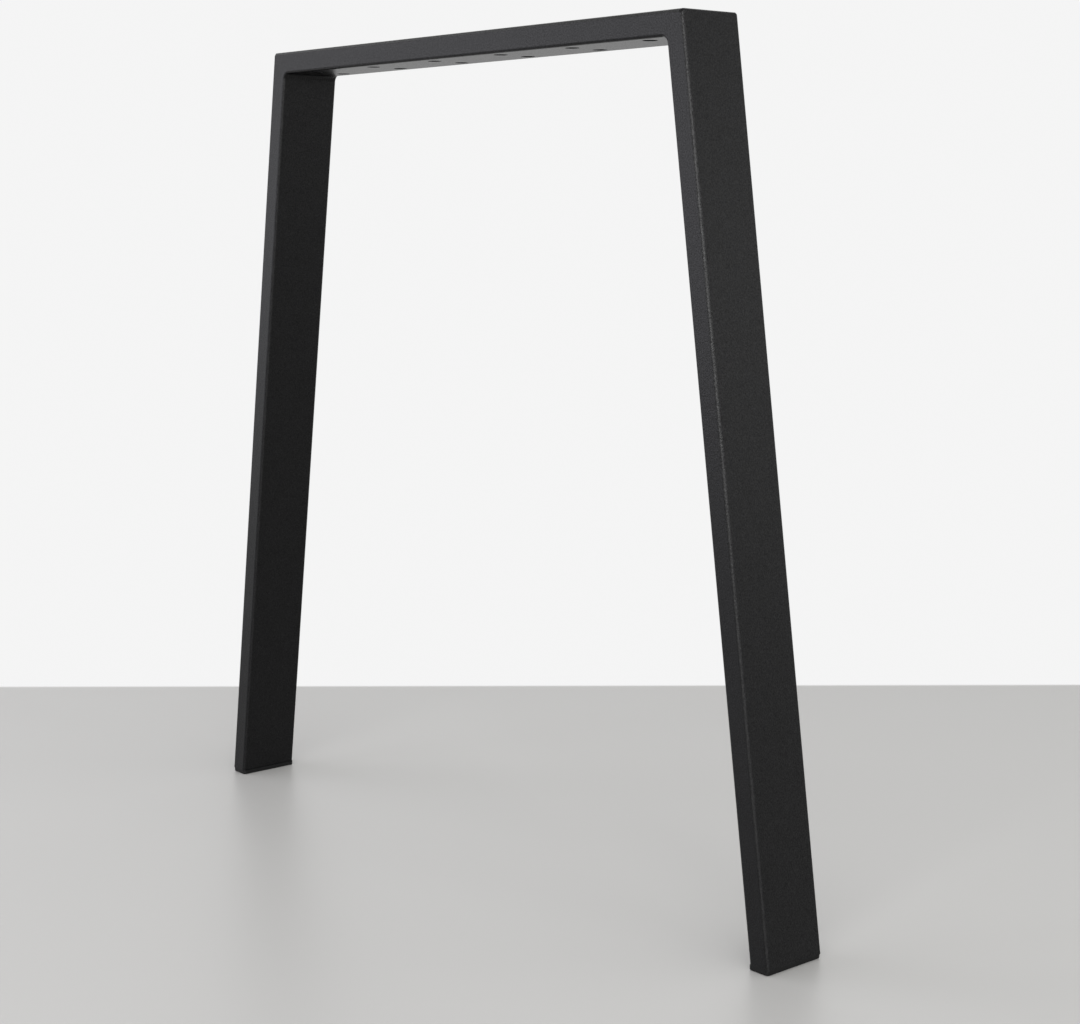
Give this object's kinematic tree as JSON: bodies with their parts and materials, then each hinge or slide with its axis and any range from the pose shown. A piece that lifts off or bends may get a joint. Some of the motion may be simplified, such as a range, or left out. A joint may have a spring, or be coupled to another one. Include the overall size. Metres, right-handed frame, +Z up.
{
  "type": "table leg",
  "caption": "Splayed U-shaped table leg of flat rectangular steel tube, mitred and welded at its top corners, drilled for the table top's screws and closed at the floor by plastic plugs.",
  "frame": {"origin": "on the floor, under the middle of the rail", "axes": "+X along the rail, +Y across the tube's wide side, +Z up to the table top"},
  "size_m": [0.7488, 0.06, 0.72],
  "materials": {
    "powder_coat": "matte",
    "plug_plastic": "matte"
  },
  "bodies": {
    "root": {"top_rail": "powder_coat", "right_leg": "powder_coat", "left_leg": "powder_coat", "right_weld": "powder_coat", "left_weld": "powder_coat", "right_foot_plug": "plug_plastic", "left_foot_plug": "plug_plastic"}
  },
  "joints": []
}
